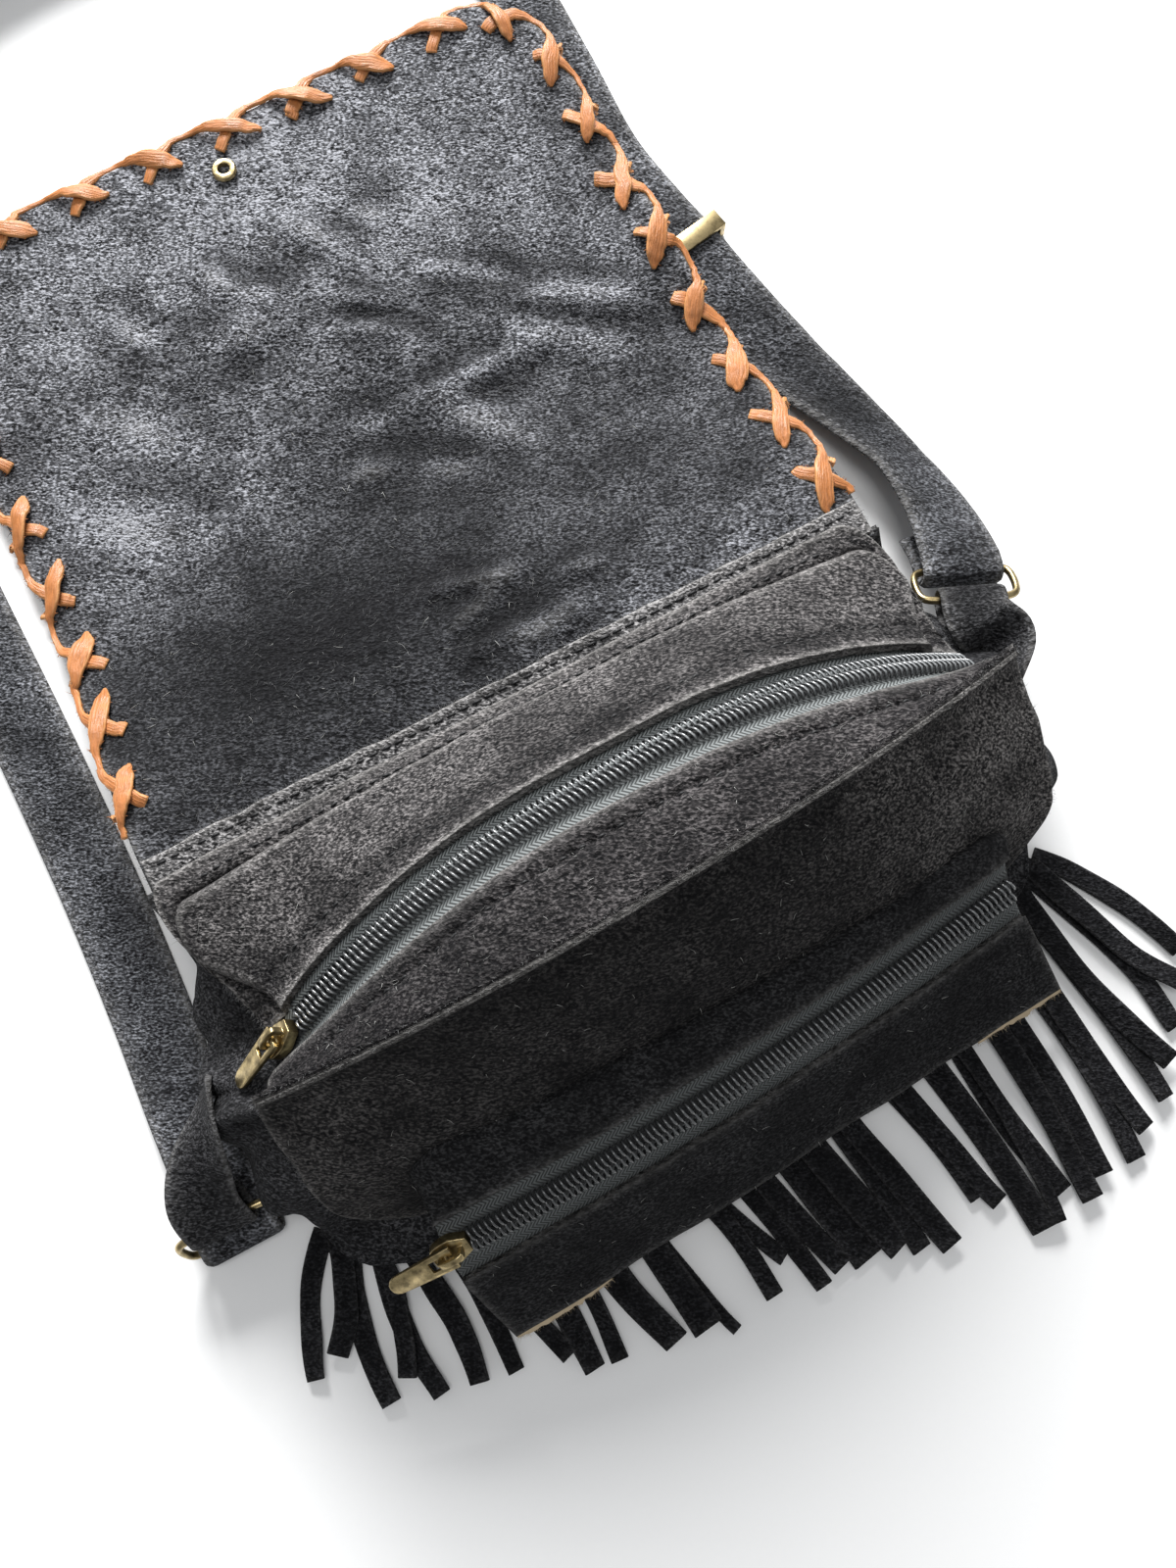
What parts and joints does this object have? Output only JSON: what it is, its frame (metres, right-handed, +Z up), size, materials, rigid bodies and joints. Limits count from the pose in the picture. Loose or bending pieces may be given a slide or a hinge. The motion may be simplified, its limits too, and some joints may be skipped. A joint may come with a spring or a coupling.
{
  "type": "fringe crossbody bag",
  "caption": "Soft suede crossbody bag lying on its back with its laced flap open, a zipped top, a zipped front pocket, a cut fringe and a long shoulder strap.",
  "frame": {"origin": "on the flat face under the back panel that the bag lies on, at mid width of the back panel", "axes": "+X along the flap's hinge, +Y from the hinge towards the flap's free edge, +Z up off the surface"},
  "size_m": [0.2885, 0.4962, 0.0827],
  "materials": {
    "suede": "napped matt suede",
    "lace": "smooth tan leather, slightly waxed",
    "brass": "aged, satin",
    "zip_tape": "herringbone woven tape",
    "zip_coil": "smooth nylon coil"
  },
  "bodies": {
    "bag": {"back_panel": "suede", "flap": "suede", "hinge_strip": "suede", "band_back": "suede", "band_front": "suede", "front_panel": "suede", "pocket_top": "suede", "pocket_front": "suede", "pocket_wall": "suede", "gusset": "suede", "fringe_left": "suede", "fringe_bottom": "suede", "fringe_right": "suede", "strap": "suede", "tab_left": "suede", "tab_right": "suede", "lacing_left": "lace", "lacing_end": "lace", "lacing_right": "lace", "flap_eyelet": "brass", "main_zip_slider": "brass", "pocket_zip_slider": "brass", "ring_left": "brass", "ring_right": "brass", "strap_slide": "brass", "main_zip_tape": "zip_tape", "pocket_zip_tape": "zip_tape", "main_zip_coil": "zip_coil", "pocket_zip_coil": "zip_coil"},
    "main_pull": {"main_zip_pull": "brass"},
    "pocket_pull": {"pocket_zip_pull": "brass"}
  },
  "joints": [
    {"name": "main_pull_hinge", "type": "hinge", "parent": "bag", "child": "main_pull", "pos_m": [-0.09217, 0.00564, 0.04504], "axis": [-0.049, 0.8628, -0.5032], "range_deg": [0, 140]},
    {"name": "pocket_pull_hinge", "type": "hinge", "parent": "bag", "child": "pocket_pull", "pos_m": [-0.07744, -0.06047, 0.03789], "axis": [-0.0922, 0.866, 0.4915], "range_deg": [0, 140]}
  ]
}
